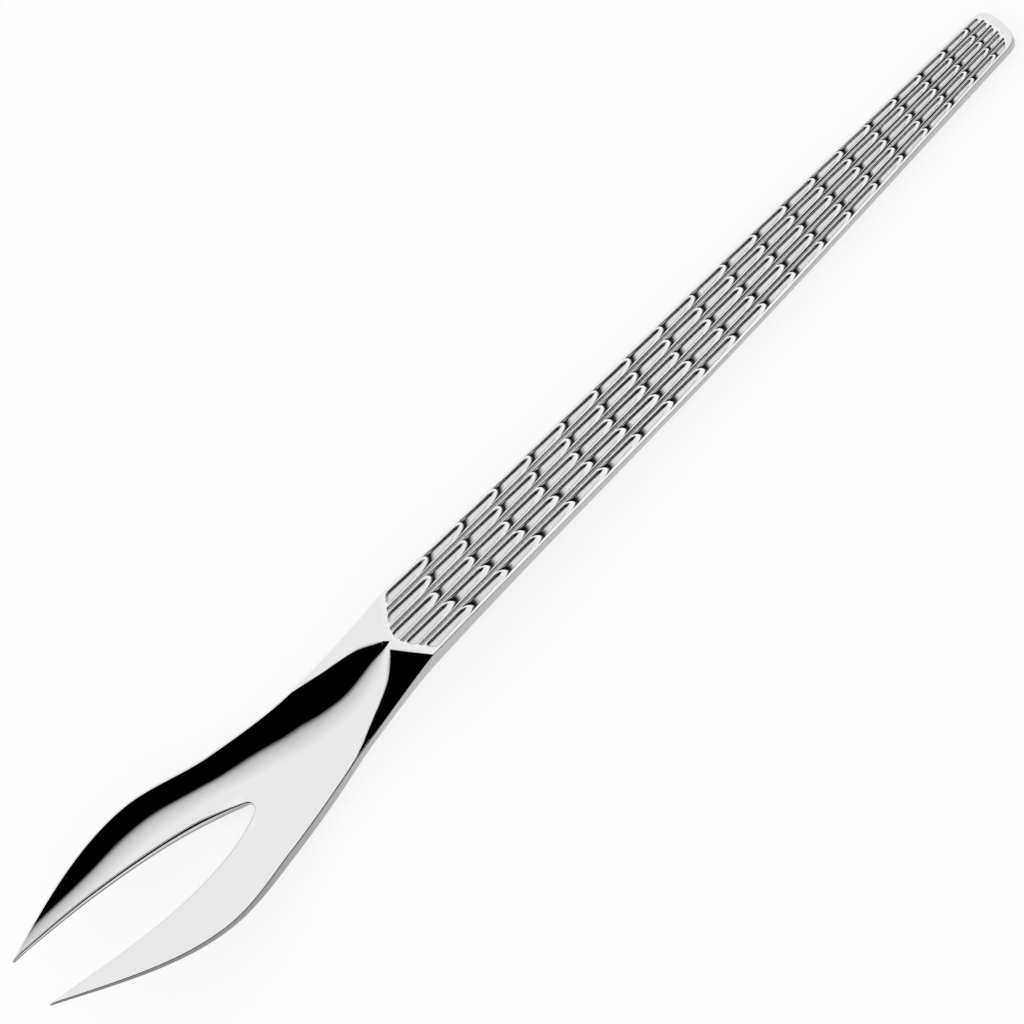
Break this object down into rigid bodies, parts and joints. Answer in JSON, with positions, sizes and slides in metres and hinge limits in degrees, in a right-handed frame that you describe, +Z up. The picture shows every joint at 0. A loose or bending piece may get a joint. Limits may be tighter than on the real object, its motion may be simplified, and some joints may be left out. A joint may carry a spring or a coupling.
{
  "type": "serving fork",
  "caption": "Slim one-piece serving fork with a shallow forked bowl, a pointed neck rim and a tapering flat handle coined with rows of scales.",
  "frame": {"origin": "centre of the footprint, on the table that the fork lies on, bowl up", "axes": "+X from the points of the tines to the end of the handle, +Y across the fork, +Z up out of the bowl"},
  "size_m": [0.24, 0.0314, 0.0183],
  "materials": {
    "stainless_steel": "mirror polished stainless steel, a little darker in the pockets of the scales"
  },
  "bodies": {
    "root": {"serving_fork": "stainless_steel"}
  },
  "joints": []
}
